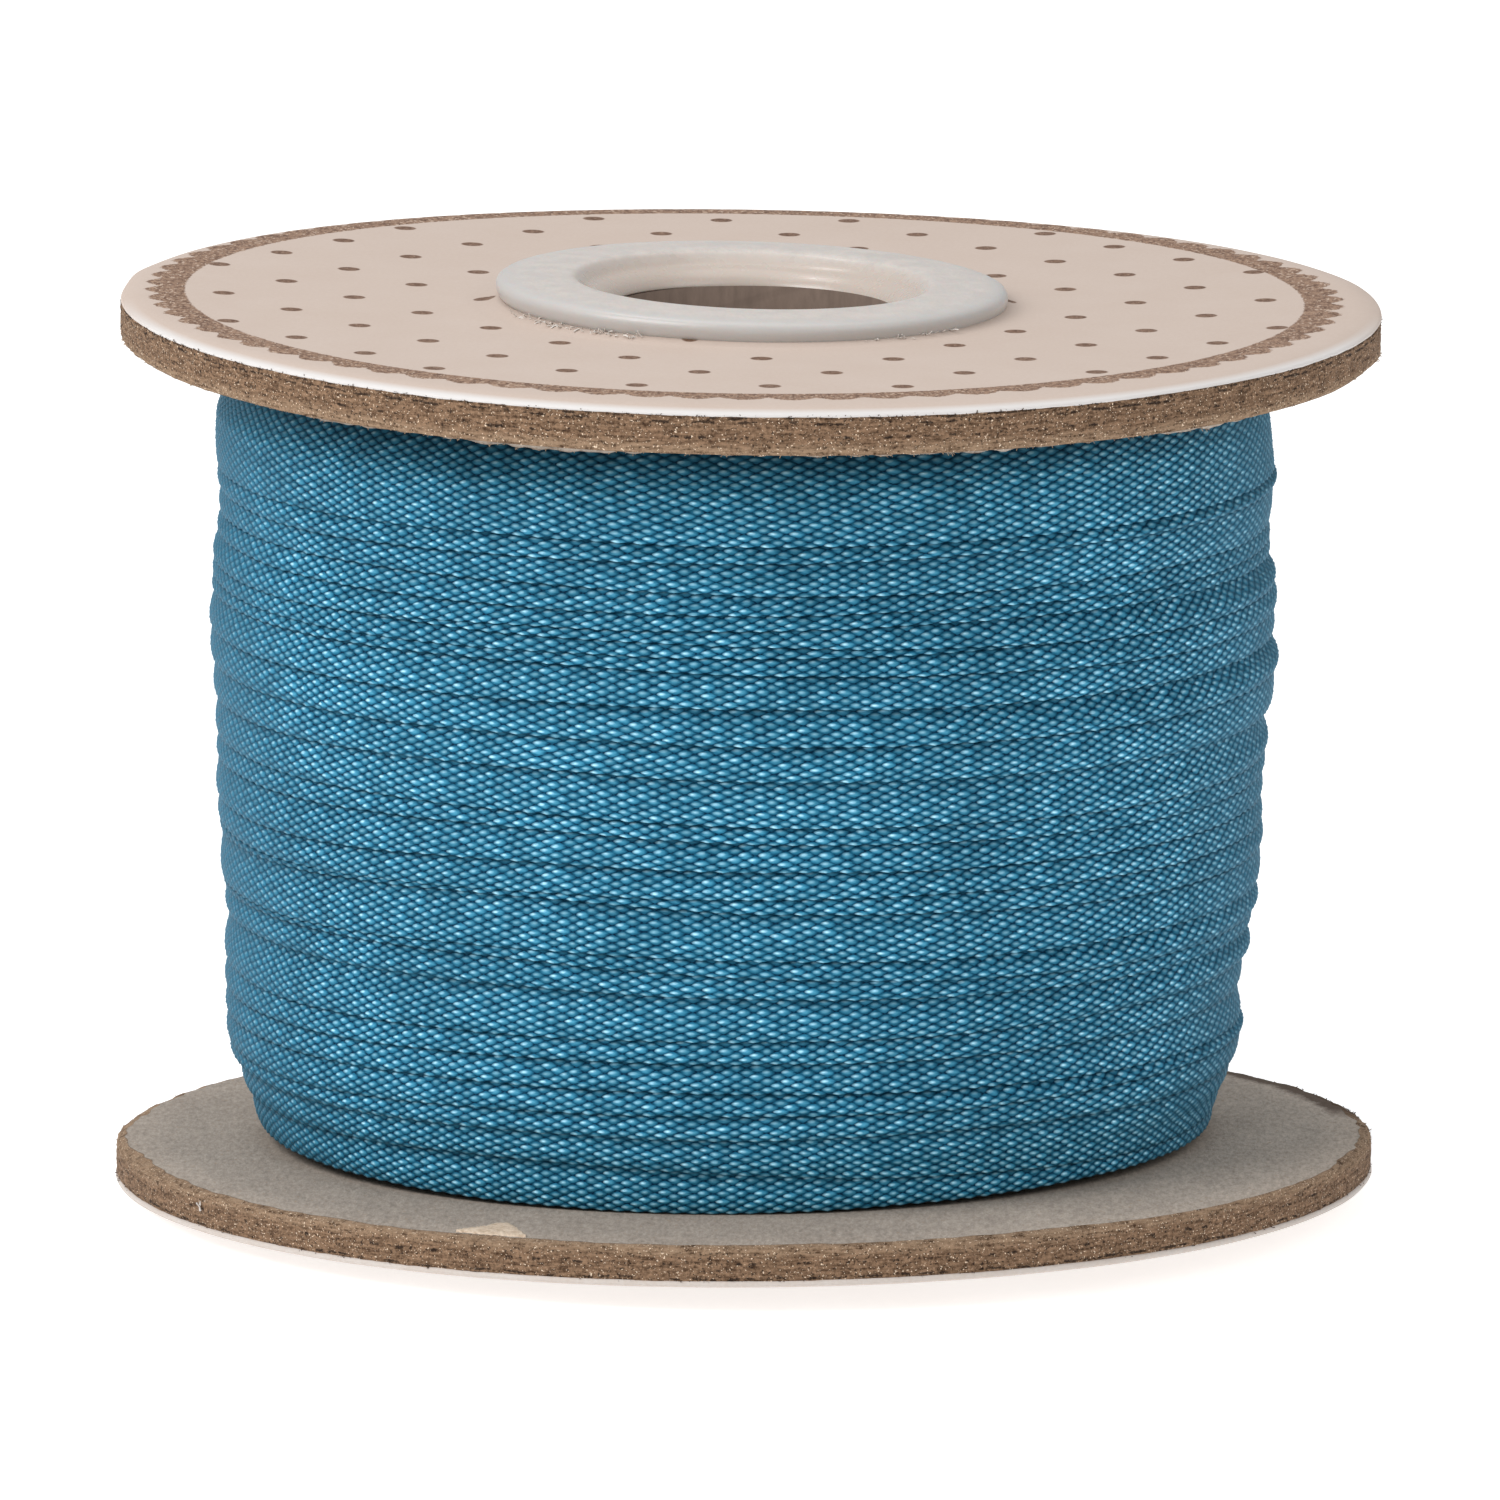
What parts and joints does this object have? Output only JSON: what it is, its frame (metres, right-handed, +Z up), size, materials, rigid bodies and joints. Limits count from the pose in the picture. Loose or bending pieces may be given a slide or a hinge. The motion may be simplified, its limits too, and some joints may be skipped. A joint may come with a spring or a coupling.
{
  "type": "roll of ribbon on a card spool",
  "caption": "Narrow woven ribbon wound in overlapping turns on a card spool with two round board flanges, a core tube and plastic hubs.",
  "frame": {"origin": "middle of the foot, on the surface that the spool stands on", "axes": "+Z up along the spool's core, -Y towards the side that the picture shows, +X to its right"},
  "size_m": [0.065, 0.065, 0.0478],
  "materials": {
    "board": "matt layered grey board with a rough cut edge",
    "printed_paper": "cream paper with brown dots and a scalloped ring",
    "plain_paper": "plain cream paper",
    "hub_plastic": "satin grey-white plastic",
    "core_card": "matt brown card",
    "ribbon": "petrol blue plain weave with a satin light on each float"
  },
  "bodies": {
    "root": {"upper_board": "board", "lower_board": "board", "upper_paper": "printed_paper", "lower_paper": "plain_paper", "upper_hub": "hub_plastic", "lower_hub": "hub_plastic", "core_tube": "core_card", "ribbon_winding": "ribbon"}
  },
  "joints": []
}
